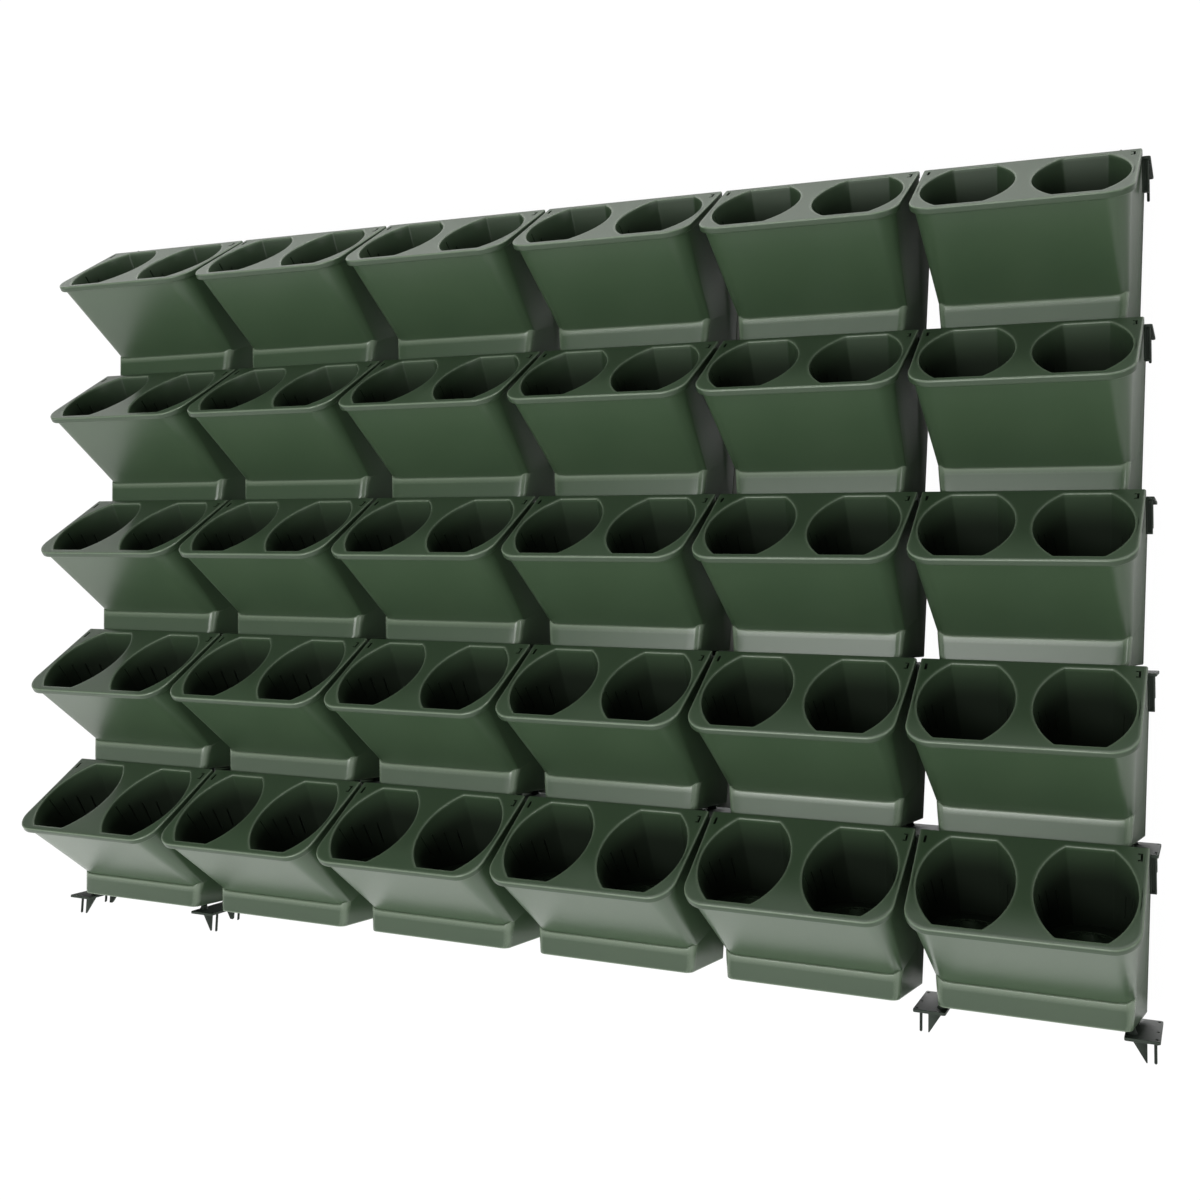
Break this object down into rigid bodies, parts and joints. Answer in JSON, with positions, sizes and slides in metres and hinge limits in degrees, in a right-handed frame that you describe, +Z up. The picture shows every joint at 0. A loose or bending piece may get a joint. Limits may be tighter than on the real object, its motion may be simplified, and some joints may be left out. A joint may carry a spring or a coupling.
{
  "type": "vertical wall planter",
  "caption": "Green plastic wall of stacked planter modules on loose clips, with round pockets in sloped rims, wide lips and small feet, for growing plants against a wall.",
  "frame": {"origin": "centre of the floor area under the wall of planters, at the ends of the feet", "axes": "+X along the wall to the right as seen from the front, +Y into the wall, +Z up"},
  "size_m": [1.814, 0.232, 1.193],
  "materials": {
    "planter": "satin moulded polypropylene",
    "clip": "matte moulded polypropylene"
  },
  "bodies": {
    "row_5": {"planter_r5_c1": "planter", "planter_r5_c2": "planter", "planter_r5_c3": "planter", "planter_r5_c4": "planter", "planter_r5_c5": "planter", "planter_r5_c6": "planter", "clips_r5": "clip", "foot_c1_left": "clip", "foot_c1_right": "clip", "foot_c6_left": "clip", "foot_c6_right": "clip"},
    "row_4": {"planter_r4_c1": "planter", "planter_r4_c2": "planter", "planter_r4_c3": "planter", "planter_r4_c4": "planter", "planter_r4_c5": "planter", "planter_r4_c6": "planter", "clips_r4": "clip"},
    "row_3": {"planter_r3_c1": "planter", "planter_r3_c2": "planter", "planter_r3_c3": "planter", "planter_r3_c4": "planter", "planter_r3_c5": "planter", "planter_r3_c6": "planter", "clips_r3": "clip"},
    "row_2": {"planter_r2_c1": "planter", "planter_r2_c2": "planter", "planter_r2_c3": "planter", "planter_r2_c4": "planter", "planter_r2_c5": "planter", "planter_r2_c6": "planter", "clips_r2": "clip"},
    "row_1": {"planter_r1_c1": "planter", "planter_r1_c2": "planter", "planter_r1_c3": "planter", "planter_r1_c4": "planter", "planter_r1_c5": "planter", "planter_r1_c6": "planter", "clips_r1": "clip"}
  },
  "joints": [
    {"name": "row_4_lift", "type": "slide", "parent": "row_5", "child": "row_4", "axis": [0, 0, 1], "range_m": [0, 0.04]},
    {"name": "row_3_lift", "type": "slide", "parent": "row_4", "child": "row_3", "axis": [0, 0, 1], "range_m": [0, 0.04]},
    {"name": "row_2_lift", "type": "slide", "parent": "row_3", "child": "row_2", "axis": [0, 0, 1], "range_m": [0, 0.04]},
    {"name": "row_1_lift", "type": "slide", "parent": "row_2", "child": "row_1", "axis": [0, 0, 1], "range_m": [0, 0.04]}
  ]
}
